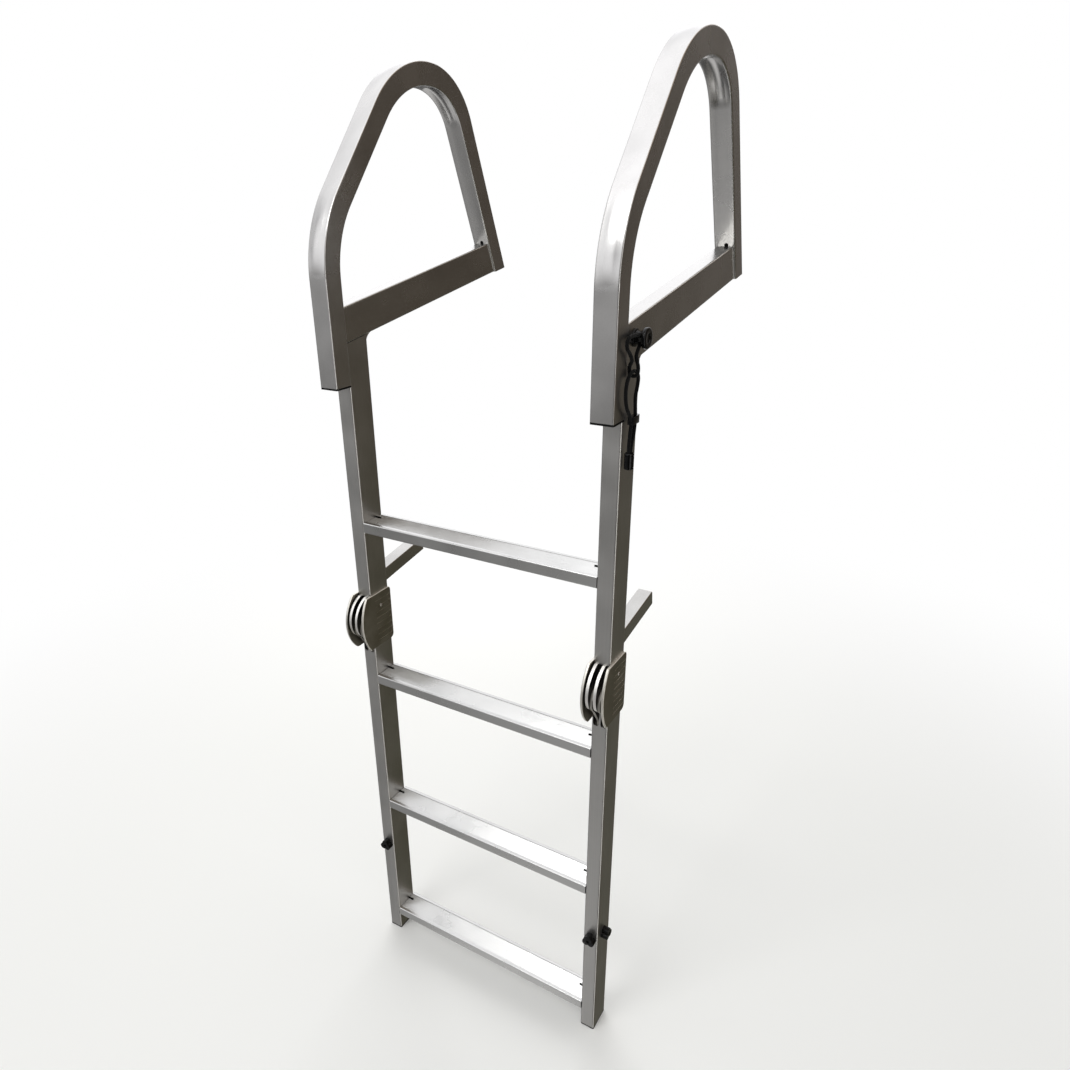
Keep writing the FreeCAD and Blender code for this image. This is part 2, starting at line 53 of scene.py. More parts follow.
def at(x, y, z):
    return Vector((middleX + x * mm, stileFoot.y + y * mm, stileFoot.z + z * mm))


print("frame loaded:", len(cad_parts), "nodes")

# Camera, where the photograph was taken from
view = {
    "place": (673.1, -994.7, 1499.7),
    "aim": (-60.6, 150.2, 866.6),
    "roll": -1.43,                  # degrees
    "lens": 27.22,                  # mm, on the sensor below
    "sensor": 36.0,
    "shift": (0.0427, 0.0327),
    "farthest": 50.0,               # metres
}


def placeCamera():
    bpy.ops.object.camera_add(location=at(*view["place"]))
    camera = bpy.context.object
    aimWay = at(*view["aim"]) - at(*view["place"])
    turn = aimWay.to_track_quat("-Z", "Y") @ Euler((0, 0, math.radians(view["roll"]))).to_quaternion()
    camera.rotation_euler = turn.to_euler()
    camera.data.sensor_width = view["sensor"]
    camera.data.lens = view["lens"]
    camera.data.shift_x, camera.data.shift_y = view["shift"]
    camera.data.clip_end = view["farthest"]
    bpy.context.scene.camera = camera


placeCamera()
print("camera placed")


# Colours and shader nodes
def colour(code):
    channels = [int(code[i:i + 2], 16) / 255 for i in (1, 3, 5)]
    return [c / 12.92 if c <= 0.04045 else ((c + 0.055) / 1.055) ** 2.4 for c in channels] + [1.0]


def addNode(tree, kind, settings=None, links=None):
    node = tree.nodes.new("ShaderNode" + kind)
    for key, value in (settings or {}).items():
        if isinstance(key, int) or key in node.inputs:
            node.inputs[key].default_value = value
        else:
            setattr(node, key, value)
    for key, source in (links or {}).items():
        socket = source.outputs[0] if isinstance(source, bpy.types.Node) else source
        tree.links.new(socket, node.inputs[key])
    return node


def newMaterial(name, settings):
    material = bpy.data.materials.new(name)
    material.use_nodes = True
    tree = material.node_tree
    shader = tree.nodes["Principled BSDF"]
    for key, value in settings.items():
        shader.inputs[key].default_value = value
    return material, tree, shader


def mixColours(tree, factor, low, high):
    mix = addNode(tree, "Mix", {"data_type": "RGBA", 6: colour(low), 7: colour(high)}, {0: factor})
    return mix.outputs[2]


# Etched and anodised aluminium extrusion: a soft grey metal with faint lines from the die along its length
anodised = {
    "light": "#bab9b6", "dark": "#aaa9a6",
    "roughness": (0.32, 0.42),
    "lineSpacing": 1.6,             # mm; real die lines are about 0.2 mm, too fine to show
    "lineLength": 400.0,
    "lineShare": 0.4,               # how much of the tone follows the lines
    "cloud": 70.0,
    "grain": 0.9,
    "toneSpread": (0.45, 0.95),
    "cloudSpread": (0.3, 0.7),
    "lineDent": (0.10, 0.05),       # strength, and depth in mm
    "grainDent": (0.12, 0.04),
}


def anodisedMetal(name, along, spec=anodised):
    material, tree, shader = newMaterial(name, {"Metallic": 1.0})
    place = addNode(tree, "TexCoord").outputs["Object"]
    stretch = [1 / (spec["lineSpacing"] * mm)] * 3
    if along is not None:
        stretch[along] = 1 / (spec["lineLength"] * mm)
    lineMap = addNode(tree, "Mapping", {"Scale": stretch}, {"Vector": place})
    lines = addNode(tree, "TexNoise", {"Scale": 1.0, "Detail": 2.0}, {"Vector": lineMap})
    clouds = addNode(tree, "TexNoise", {"Scale": 1 / (spec["cloud"] * mm), "Detail": 3.0}, {"Vector": place})
    grain = addNode(tree, "TexNoise", {"Scale": 1 / (spec["grain"] * mm), "Detail": 1.0}, {"Vector": place})
    tone = addNode(tree, "Math", {"operation": "MULTIPLY_ADD", 1: spec["lineShare"]}, {0: lines, 2: clouds})
    low, high = spec["toneSpread"]
    factor = addNode(tree, "MapRange", {"From Min": low, "From Max": high}, {"Value": tone})
    low, high = spec["cloudSpread"]
    smooth, dull = spec["roughness"]
    rough = addNode(tree, "MapRange", {"From Min": low, "From Max": high, "To Min": smooth, "To Max": dull},
                    {"Value": clouds})
    if "straightFoot" in spec:
        low, high = [at(0, 0, height).z for height in spec["straightFoot"]]
        upward = addNode(tree, "SeparateXYZ", {}, {0: place})
        duller = addNode(tree, "MapRange", {"From Min": low, "From Max": high, "To Min": spec["footDullness"],
                                            "To Max": 0.0}, {"Value": upward.outputs["Z"]})
        rough = addNode(tree, "Math", {"operation": "ADD"}, {0: rough, 1: duller})
    strength, depth = spec["lineDent"]
    lineBump = addNode(tree, "Bump", {"Strength": strength, "Distance": depth * mm}, {"Height": lines})
    strength, depth = spec["grainDent"]
    grainBump = addNode(tree, "Bump", {"Strength": strength, "Distance": depth * mm},
                        {"Height": grain, "Normal": lineBump})
    tint = mixColours(tree, factor, spec["dark"], spec["light"])
    # Faces turned to the sides keep the tint, and all other faces take the painted edge tone: a painted
    # highlight on the covers and cheeks, painted shade on the eye plates
    if "bareEdge" in spec:
        low, high = spec["faceSpread"]
        facing = addNode(tree, "SeparateXYZ", {}, {0: addNode(tree, "NewGeometry").outputs["Normal"]})
        sideways = addNode(tree, "Math", {"operation": "ABSOLUTE"}, {0: facing.outputs["X"]})
        onFace = addNode(tree, "MapRange", {"From Min": low, "From Max": high}, {"Value": sideways})
        edged = addNode(tree, "Mix", {"data_type": "RGBA", 6: colour(spec["bareEdge"])}, {0: onFace, 7: tint})
        tint = edged.outputs[2]
    tree.links.new(tint, shader.inputs["Base Color"])
    tree.links.new(rough.outputs[0], shader.inputs["Roughness"])
    tree.links.new(grainBump.outputs[0], shader.inputs["Normal"])
    return material


# The extrusion on the arms and the stand-off bars, handled and so glossier
slopedTube = dict(anodised, roughness=(0.22, 0.30))
# The same metal where it was bent: stretched smoother, so it mirrors more sharply than on the straight foot
bentTube = dict(anodised, light="#bfbebc", dark="#b0afad", roughness=(0.24, 0.29), grain=0.7,
                straightFoot=(1345.0, 1400.0), footDullness=0.09)
# Tread extrusion: a lighter copy of the tube metal, so that the tops read brighter; the lighter tone is a
# painted highlight
treadLitCopy = dict(anodised, light="#bebebc", dark="#b0b0ae", roughness=(0.24, 0.34))
# Pressed aluminium plate, duller than the tubes, with a pebbled etch; its rims and groove walls are painted
# bright, a painted highlight
hingePlate = dict(anodised, light="#9c988c", dark="#8a8578", bareEdge="#d6d3ca", faceSpread=(0.75, 0.95),
                  roughness=(0.40, 0.52), lineSpacing=2.5, lineLength=2.5, cloud=25.0, grain=0.8)
# Thick hinge plate: its cut edges are bright, partly bare cut metal and partly painted highlight; its faces
# are painted dark, a painted shade
cutPlateShaded = dict(anodised, light="#4b4945", dark="#3b3936", bareEdge="#e6e4df", faceSpread=(0.75, 0.95),
                roughness=(0.44, 0.54), lineSpacing=0.9, lineLength=30.0, cloud=20.0, grain=0.6)
# The same plate, its edges painted darker too where it sits deep in the hinge: painted shade
shadedDeepPlate = dict(cutPlateShaded, bareEdge="#a3a098")
# Stainless steel, turned: darker than the aluminium and glossier
turnedSteel = dict(anodised, light="#c4c1bb", dark="#aaa69f", roughness=(0.20, 0.30), lineSpacing=0.5,
                   lineLength=0.5, cloud=12.0, grain=0.5)


# Black plastics and rubber: nearly black, with a moulded grain that greys where light grazes it
moulded = {
    "ior": 1.5, "gloss": 0.12, "coatRoughness": 0.12,
    "scuff": 9.0,                   # mm
    "scuffRoughness": 0.65,
    "scuffSpread": (0.5, 0.75),
    "scuffDullness": 0.15,
    "dent": 0.3,
}


def mouldedBlack(name, dark, light, roughness, grain, depth, coat=0.0):
    material, tree, shader = newMaterial(name, {"Metallic": 0.0, "IOR": moulded["ior"],
                                                "Specular IOR Level": moulded["gloss"], "Coat Weight": coat,
                                                "Coat Roughness": moulded["coatRoughness"]})
    place = addNode(tree, "TexCoord").outputs["Object"]
    pebbles = addNode(tree, "TexVoronoi", {"Scale": 1 / (grain * mm)}, {"Vector": place})
    scuffs = addNode(tree, "TexNoise", {"Scale": 1 / (moulded["scuff"] * mm), "Detail": 6.0,
                                        "Roughness": moulded["scuffRoughness"]}, {"Vector": place})
    low, high = moulded["scuffSpread"]
    factor = addNode(tree, "MapRange", {"From Min": low, "From Max": high}, {"Value": scuffs})
    dull = roughness + moulded["scuffDullness"]
    rough = addNode(tree, "MapRange", {"To Min": roughness, "To Max": dull}, {"Value": scuffs})
    bump = addNode(tree, "Bump", {"Strength": moulded["dent"], "Distance": depth * mm}, {"Height": pebbles})
    tree.links.new(mixColours(tree, factor, dark, light), shader.inputs["Base Color"])
    tree.links.new(rough.outputs[0], shader.inputs["Roughness"])
    tree.links.new(bump.outputs[0], shader.inputs["Normal"])
    return material


# Braided polyester cord: two sets of black strands that cross, with a soft sheen on each crossing; the
# strands' crowns are painted lighter and the grooves between them darker, a painted highlight and painted
# shade
braid = {"strand": 1.3, "dark": "#030303", "light": "#0d0d0e", "roughness": 0.75, "gloss": 0.1, "sheen": 0.05,
         "dent": (0.7, 0.4)}        # strength, and depth in mm


def braidedCord(name, length, diameter):
    material, tree, shader = newMaterial(name, {"Metallic": 0.0, "Roughness": braid["roughness"],
                                                "Specular IOR Level": braid["gloss"],
                                                "Sheen Weight": braid["sheen"]})
    along = length / braid["strand"]
    around = round(math.pi * diameter / braid["strand"])
    uv = addNode(tree, "TexCoord").outputs["UV"]
    stretch = addNode(tree, "Mapping", {"Scale": (along, around, 1)}, {"Vector": uv})
    parts = addNode(tree, "SeparateXYZ", {}, {0: stretch})
    waves = []
    for operation in ("ADD", "SUBTRACT"):
        slant = addNode(tree, "Math", {"operation": operation}, {0: parts.outputs[0], 1: parts.outputs[1]})
        turn = addNode(tree, "Math", {"operation": "MULTIPLY", 1: math.pi}, {0: slant})
        wave = addNode(tree, "Math", {"operation": "SINE"}, {0: turn})
        waves.append(addNode(tree, "Math", {"operation": "ABSOLUTE"}, {0: wave}))
    height = addNode(tree, "Math", {"operation": "MAXIMUM"}, {0: waves[0], 1: waves[1]})
    strength, depth = braid["dent"]
    bump = addNode(tree, "Bump", {"Strength": strength, "Distance": depth * mm}, {"Height": height})
    # Painted highlight on the strands' crowns and painted shade in the grooves between them
    tint = mixColours(tree, height, braid["dark"], braid["light"])
    tree.links.new(tint, shader.inputs["Base Color"])
    tree.links.new(bump.outputs[0], shader.inputs["Normal"])
    return material


# Die lines run along an extrusion's own axis; bent, pressed and turned metal has none
tubeUp = anodisedMetal("anodised extrusion, upright", along=2)
tubeBack = anodisedMetal("anodised extrusion, sloped back", along=1, spec=slopedTube)
tubeBent = anodisedMetal("anodised tube, bent", along=None, spec=bentTube)
treadMetal = anodisedMetal("anodised extrusion, tread", along=0, spec=treadLitCopy)
plateMetal = anodisedMetal("anodised hinge plate", along=None, spec=hingePlate)
edgeMetal = anodisedMetal("cut hinge plate", along=None, spec=cutPlateShaded)
eyeMetal = anodisedMetal("soiled hinge plate", along=None, spec=shadedDeepPlate)
steel = anodisedMetal("turned stainless steel", along=None, spec=turnedSteel)

# Polyethylene is waxy and dull, rubber has a soft sheen, nylon is glossier, and the matt black fill in slots
# and holes is painted shade
plugPlastic = mouldedBlack("moulded polyethylene", "#0a0a0a", "#161615", roughness=0.50, grain=0.9,
                           depth=0.03)
rubber = mouldedBlack("moulded rubber", "#040404", "#0b0b0b", roughness=0.30, grain=1.2, depth=0.03,
                      coat=0.12)
nylon = mouldedBlack("moulded nylon", "#030304", "#0a0a0b", roughness=0.18, grain=0.7, depth=0.01, coat=0.3)
shadeFill = mouldedBlack("moulded polyethylene, matt", "#050505", "#0a0a0a", roughness=0.85, grain=1.5,
                        depth=0.02)

finishes = {
    "upper_stile": tubeUp, "lower_stile": tubeUp, "deck_arm": tubeBack, "standoff_bar": tubeBack,
    "handrail": tubeBent, "hinge_cheeks": edgeMetal, "hinge_eyes": eyeMetal, "hinge_pin": steel,
    "outer_hinge_cover": plateMetal, "inner_hinge_cover": plateMetal, "handrail_plug": plugPlastic,
    "foot_plug": plugPlastic, "buffer": rubber, "lanyard_catch": rubber, "lanyard_knob": nylon,
    "lanyard_cinch": nylon, "lanyard_barrel": nylon, "lanyard_hitch": rubber, "lanyard_loop": rubber,
    "step_1": treadMetal, "step_2": treadMetal, "step_3": treadMetal, "step_4": treadMetal,
}
for nodeName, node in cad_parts.items():
    key = nodeName.replace("left_", "").replace("right_", "")
    node.data.materials.clear()
    node.data.materials.append(finishes[key])
print("materials:", len(bpy.data.materials))


# Modelling helpers
modelling = {
    "facing": 0.9,                  # how far a normal leans on a direction to face that way
    "merge": 0.01,                  # mm, between doubles
    "nearby": 0.3,                  # mm, between a vertex and the row or column that it is chosen with
}


def startPiece():
    if bpy.context.object and bpy.context.object.mode != "OBJECT":
        bpy.ops.object.mode_set(mode="OBJECT")
    bpy.ops.object.select_all(action="DESELECT")


def editPiece():
    bpy.ops.object.transform_apply(location=True, rotation=True, scale=True)
    bpy.ops.object.mode_set(mode="EDIT")


def choose(kind, test):
    bpy.ops.mesh.select_mode(type=kind)
    bpy.ops.mesh.select_all(action="DESELECT")
    mesh = bmesh.from_edit_mesh(bpy.context.object.data)
    parts = {"VERT": mesh.verts, "EDGE": mesh.edges, "FACE": mesh.faces}[kind]
    for part in parts:
        if test(part):
            part.select_set(True)
    mesh.select_flush_mode()
    bmesh.update_edit_mesh(bpy.context.object.data)


def extrude(move):
    bpy.ops.mesh.extrude_region_move(TRANSFORM_OT_translate={"value": move})


def closeShell():
    bpy.ops.mesh.select_all(action="SELECT")
    bpy.ops.mesh.remove_doubles(threshold=modelling["merge"] * mm)
    bpy.ops.mesh.normals_make_consistent(inside=False)


def applyModifier(kind, settings):
    if bpy.context.object.mode != "OBJECT":
        bpy.ops.object.mode_set(mode="OBJECT")
    modifier = bpy.context.object.modifiers.new(kind, kind)
    for key, value in settings.items():
        setattr(modifier, key, value)
    bpy.ops.object.modifier_apply(modifier=modifier.name)


# Edges under the smooth angle, in degrees, are shaded round
def finishPiece(name, body, material, smooth=35):
    if bpy.context.object.mode != "OBJECT":
        bpy.ops.object.mode_set(mode="OBJECT")
    piece = bpy.context.object
    bpy.ops.object.transform_apply(location=True, rotation=True, scale=True)
    bpy.ops.object.shade_smooth_by_angle(angle=math.radians(smooth))
    piece.name = name
    piece.data.name = name
    piece.data.materials.clear()
    piece.data.materials.append(material)
    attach(piece, body)
    return piece


def copyPiece(piece, name, move, body):
    copy = piece.copy()
    copy.data = piece.data.copy()
    bpy.context.scene.collection.objects.link(copy)
    copy.data.transform(Matrix.Translation(move))
    copy.name = name
    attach(copy, body)
    return copy


# A round piece, turned from (height, radius) pairs in mm up from its foot
def turnPiece(foot, way, profile, sides=48):
    startPiece()
    firstHeight, firstRadius = profile[0]
    bpy.ops.mesh.primitive_circle_add(vertices=sides, radius=firstRadius * mm, fill_type="NGON",
                                      location=foot + way * firstHeight * mm,
                                      rotation=way.to_track_quat("Z", "Y").to_euler())
    editPiece()
    for (low, wide), (high, narrow) in zip(profile, profile[1:]):
        extrude(way * (high - low) * mm)
        bpy.ops.transform.resize(value=(narrow / wide,) * 3, center_override=foot + way * high * mm)
    closeShell()


# Lanyard cords: routes in mm, as the cord solids follow them
lanyard = {
    "diameter": 5.0,
    "sides": 6, "steps": 12,        # how finely the cord is rounded, and drawn along its route
    "hitchLength": 155.0,
    "hitch": [(262.5, 24, 1329), (262.5, 8, 1331), (262.5, -17, 1331), (262, -19, 1318), (262, -6, 1309),
              (262.5, 1.5, 1299), (256.4, 6, 1291), (256.4, 8.5, 1278.2), (267.6, 8.5, 1278.2),
              (267.6, 11, 1291), (262.5, 11.5, 1302), (262.5, 18, 1311), (262.5, 25, 1318)],
    "loopLength": 264.1,
    "loop": [(262, 5.4, 1170), (262, 5, 1184), (262, 6.5, 1201), (262, 10, 1216), (262, 2, 1228),
             (262, -10, 1240), (262, -15, 1257), (262, -13, 1274), (262, -1, 1284.5), (262, 16, 1284.5),
             (262, 27, 1275), (262, 24, 1261), (262, 18.5, 1250), (262, 20.5, 1236), (262, 22.5, 1223),
             (262, 22.5, 1210), (262, 20, 1196), (262, 13, 1184), (262, 11.6, 1170)],
}


def layCord(name, node, route, length):
    curve = bpy.data.curves.new(name, "CURVE")
    curve.dimensions = "3D"
    curve.bevel_depth = lanyard["diameter"] / 2 * mm
    curve.bevel_resolution = lanyard["sides"]
    curve.use_fill_caps = True
    spline = curve.splines.new("NURBS")
    spline.points.add(len(route) - 1)
    for point, place in zip(spline.points, route):
        point.co = (*at(*place), 1.0)
    spline.order_u = 3
    spline.use_endpoint_u = True
    spline.resolution_u = lanyard["steps"]
    cord = bpy.data.objects.new(name, curve)
    bpy.context.scene.collection.objects.link(cord)
    curve.materials.append(braidedCord(name + " polyester braid", length, lanyard["diameter"]))
    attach(cord, "upper_frame")
    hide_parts(node)
    return cord


hitchCord = layCord("hitch_cord", "lanyard_hitch", lanyard["hitch"], lanyard["hitchLength"])
loopCord = layCord("loop_cord", "lanyard_loop", lanyard["loop"], lanyard["loopLength"])

# Barrel at the loop's foot: moulded, with two turned grooves and a rounded mouth
barrel = {"x": 262.0, "y": 8.5, "foot": 1151.0, "profile": [
    (0.0, 4.6), (0.1, 5.8), (0.5, 6.5), (1.2, 6.8), (2.6, 6.8), (2.8, 6.2), (3.4, 6.1), (3.8, 6.8),
    (10.9, 6.8), (11.1, 6.5), (11.9, 6.5), (12.1, 6.8), (19.2, 6.8), (19.6, 6.1), (20.2, 6.2), (20.4, 6.8),
    (21.9, 6.8), (22.6, 6.5), (23.0, 5.9), (22.9, 5.6), (22.0, 5.4)]}
turnPiece(at(barrel["x"], barrel["y"], barrel["foot"]), Vector((0, 0, 1)), barrel["profile"])
barrelPiece = finishPiece("cord_barrel", "upper_frame", nylon)
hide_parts("lanyard_barrel")

# Cinch: a flat toggle that slides on the loop's two strands, with a thumb tab at its back
cinch = {"centre": (262.0, 16.5, 1218.5), "size": (9.0, 20.0, 11.0), "tabInset": 2.2, "tabReach": 5.4,
         "tabRise": 1.6, "round": 1.1, "roundSteps": 3}


def makeCinch():
    centre = at(*cinch["centre"])
    startPiece()
    bpy.ops.mesh.primitive_cube_add(size=1, location=centre)
    bpy.ops.transform.resize(value=[side * mm for side in cinch["size"]], center_override=centre)
    editPiece()
    choose("FACE", lambda face: face.normal.y > modelling["facing"])
    bpy.ops.mesh.inset(thickness=cinch["tabInset"] * mm)
    bpy.ops.transform.translate(value=(0, 0, cinch["tabRise"] * mm))
    extrude((0, cinch["tabReach"] * mm, 0))
    closeShell()
    applyModifier("BEVEL", {"width": cinch["round"] * mm, "segments": cinch["roundSteps"],
                            "limit_method": "ANGLE"})
    piece = finishPiece("cord_cinch", "upper_frame", nylon)
    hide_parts("lanyard_cinch")
    return piece


cinchPiece = makeCinch()
print("lanyard cords laid")

# Lanyard knob: a turned nylon flange on a neck, with a rounded rim and a sunken centre
knob = {"face": 253.0, "y": 29.0, "z": 1324.0, "sides": 64, "smooth": 40, "profile": [
    (0.0, 12.0), (1.7, 12.0), (2.3, 11.6), (2.5, 10.8), (2.7, 9.3), (3.4, 9.0), (11.6, 9.0), (12.3, 9.4),
    (12.5, 10.6), (12.7, 12.6), (13.3, 13.5), (14.4, 14.0), (17.6, 14.0), (18.7, 13.6), (19.3, 12.8),
    (19.5, 11.6), (19.5, 7.0), (19.3, 6.4), (18.7, 6.1), (17.9, 5.9), (17.6, 5.3), (17.6, 0.4)]}
turnPiece(at(knob["face"], knob["y"], knob["z"]), Vector((1, 0, 0)), knob["profile"], sides=knob["sides"])
knobPiece = finishPiece("flanged_knob", "upper_frame", nylon, smooth=knob["smooth"])
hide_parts("lanyard_knob")
print("knob turned")

# Handrails: square tube bent cold, so each bend is crowned outside and sunken inside; cut level with the arm
handrail = {
    "size": 35.0, "wall": 2.5, "corner": 2.0, "cornerSteps": 3, "middle": 238.5,
    "path": [(-17.5, 1222.0), (-17.5, 1450.0), (181.0, 1682.6), (336.0, 1673.4), (481.7, 1331.5)],
    "radii": (175.0, 165.0, 112.0),
    "bendSteps": 28, "columns": 8,
    "crease": 14.7,                 # where the outermost column lies, so that the bend keeps its corners
    "crown": (2.0, 1.6, 1.4),       # mm that each bend's outer wall bulges
    "sink": (0.9, 1.6, 4.0),        # mm that each bend's inner wall is sunken
    "crownSpans": (1.0, 0.84, 0.68, 0.52, 0.36),    # shares of a bend, one for each pass over its wall
    "sinkSpans": (1.0, 0.95, 0.9, 0.85, 0.8),
    "cutHeight": 1287.2, "cutSlope": 9.0, "smooth": 30,
}


def startHandrail(middle):
    half = handrail["size"] / 2
    foot = at(middle, *handrail["path"][0])
    startPiece()
    bpy.ops.mesh.primitive_plane_add(size=2 * half * mm, location=foot)
    editPiece()
    bpy.ops.mesh.bevel(offset=handrail["corner"] * mm, segments=handrail["cornerSteps"], affect="VERTICES")
    bpy.ops.mesh.delete(type="ONLY_FACE")
    choose("EDGE", lambda edge: edge.calc_length() > half * mm)
    bpy.ops.mesh.subdivide(number_cuts=handrail["columns"] - 1)
    flat = half - handrail["corner"]
    outer = flat * (1 - 2 / handrail["columns"])
    nearby = modelling["nearby"] * mm
    for axis in (0, 1):
        choose("VERT", lambda vert: abs(abs(vert.co[axis] - foot[axis]) - outer * mm) < nearby)
        spread = [1, 1, 1]
        spread[axis] = handrail["crease"] / outer
        bpy.ops.transform.resize(value=spread, center_override=foot)
    bpy.ops.mesh.select_all(action="SELECT")


def bendHandrail(middle):
    path = [Vector((0, *place)) for place in handrail["path"]]
    here = path[0]
    bends = []
    for index, radius in enumerate(handrail["radii"], 1):
        inWay = (path[index] - path[index - 1]).normalized()
        outWay = (path[index + 1] - path[index]).normalized()
        turn = inWay.angle(outWay)
        reach = radius * math.tan(turn / 2)
        bendStart = path[index] - inWay * reach
        extrude((bendStart - here) * mm)
        centre = bendStart + Vector((0, inWay.z, -inWay.y)) * radius
        pivot = at(middle, centre.y, centre.z)
        bpy.ops.mesh.spin(steps=handrail["bendSteps"], angle=turn, center=pivot, axis=(1, 0, 0))
        here = path[index] + outWay * reach
        bends.append((pivot, (inWay - outWay).normalized(), turn, radius))
    extrude((path[-1] - here) * mm)
    return bends


# Moves one wall of a bend out from the bend's pivot, least at the wall's sides and the bend's ends
def dentBend(pivot, middleWay, turn, radius, outside, depth):
    flat = handrail["size"] / 2 - handrail["corner"]
    spans = handrail["crownSpans" if outside else "sinkSpans"]
    share = depth / len(spans)
    wallRadius = radius + handrail["size"] / 2 if outside else radius - handrail["size"] / 2
    for span in spans:
        for column in range(handrail["columns"] // 2 - 1):
            offset = flat * 2 * column / handrail["columns"]
            grow = 1 + share * (1 - (offset / flat) ** 2) / wallRadius

            def inDent(vert):
                arm = vert.co - pivot
                if abs(abs(arm.x) - offset * mm) > modelling["nearby"] * mm:
                    return False
                arm.x = 0
                if (arm.length > radius * mm) != outside:
                    return False
                return arm.angle(middleWay) < turn / 2 * span

            choose("VERT", inDent)
            bpy.ops.transform.resize(value=(1, grow, grow), center_override=pivot)


def makeHandrail(side, middle):
    startHandrail(middle)
    bends = bendHandrail(middle)
    for (pivot, middleWay, turn, radius), crown, sink in zip(bends, handrail["crown"], handrail["sink"]):
        dentBend(pivot, middleWay, turn, radius, True, crown)
        dentBend(pivot, middleWay, turn, radius, False, sink)
    closeShell()
    applyModifier("SOLIDIFY", {"thickness": handrail["wall"] * mm, "offset": -1.0, "use_even_offset": True})
    bpy.ops.object.mode_set(mode="EDIT")
    rearLeg = at(0, handrail["path"][3][0] + handrail["size"], 0).y
    choose("FACE", lambda face: face.calc_center_median().y > rearLeg)
    slope = math.radians(handrail["cutSlope"])
    cutWay = (0, -math.sin(slope), math.cos(slope))
    bpy.ops.mesh.bisect(plane_co=at(middle, 0, handrail["cutHeight"]), plane_no=cutWay, use_fill=True,
                        clear_inner=True)
    piece = finishPiece(side + "_bent_handrail", "upper_frame", tubeBent, smooth=handrail["smooth"])
    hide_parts(side + "_handrail")


makeHandrail("left", -handrail["middle"])
makeHandrail("right", handrail["middle"])
print("handrails bent")

# Three-lobed rubber buffers on the stile fronts, and the lanyard's catch on the right stile's side
buffers = {
    "height": 12.0, "lobeRadius": 6.6, "lobeOffset": 5.6, "sides": 40,
    "dimple": 3.2, "dimpleDepth": 2.5, "dimpleSides": 32,
    "round": 1.4, "roundSteps": 4, "roundOver": 50,
    "rise": 243.0, "leftX": -238.5, "rightX": 238.5, "catchX": 252.6, "catchY": 25.75,
}


def addCylinder(centre, way, radius, depth, sides):
    startPiece()
    bpy.ops.mesh.primitive_cylinder_add(vertices=sides, radius=radius * mm, depth=depth * mm, location=centre,
                                        rotation=way.to_track_quat("Z", "Y").to_euler())
    bpy.ops.object.transform_apply(location=True, rotation=True, scale=True)
    return bpy.context.object


def makeBuffer(name, foot, way, node):
    sideWay = Vector((0, 1, 0)) if way.x else Vector((1, 0, 0))
    lobes = []
    for index in range(3):
        turn = Matrix.Rotation(math.radians(90 + 120 * index), 3, way)
        centre = foot + turn @ sideWay * buffers["lobeOffset"] * mm + way * buffers["height"] / 2 * mm
        lobes.append(addCylinder(centre, way, buffers["lobeRadius"], buffers["height"], buffers["sides"]))
    face = foot + way * buffers["height"] * mm
    dimple = addCylinder(face, way, buffers["dimple"], 2 * buffers["dimpleDepth"], buffers["dimpleSides"])
    startPiece()
    bpy.context.view_layer.objects.active = lobes[0]
    lobes[0].select_set(True)
    for other in lobes[1:]:
        applyModifier("BOOLEAN", {"operation": "UNION", "object": other})
    applyModifier("BOOLEAN", {"operation": "DIFFERENCE", "object": dimple})
    applyModifier("BEVEL", {"width": buffers["round"] * mm, "segments": buffers["roundSteps"],
                            "limit_method": "ANGLE", "angle_limit": math.radians(buffers["roundOver"])})
    for other in lobes[1:] + [dimple]:
        bpy.data.objects.remove(other)
    piece = finishPiece(name, "lower_section", rubber)
    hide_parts(node)


for side in ("left", "right"):
    foot = at(buffers[side + "X"], 0, buffers["rise"])
    makeBuffer(side + "_rubber_buffer", foot, Vector((0, -1, 0)), side + "_buffer")
catchFoot = at(buffers["catchX"], buffers["catchY"], buffers["rise"])
makeBuffer("rubber_catch", catchFoot, Vector((1, 0, 0)), "lanyard_catch")
print("buffers made")

# Tread ribs: serrated ribs along the tread, in the recess between its two lips
ribs = {"pitch": 2.25, "height": 1.0, "toothPitch": 3.0, "notch": 0.45, "lip": 7.0, "recess": 1.2,
        "above": 0.05,              # mm, from the recess up to the ribs' foot
        "root": 0.6, "endGap": 0.3, "smooth": 20}
steps = {"step_1": "upper_frame", "step_2": "lower_section", "step_3": "lower_section",
         "step_4": "lower_section"}


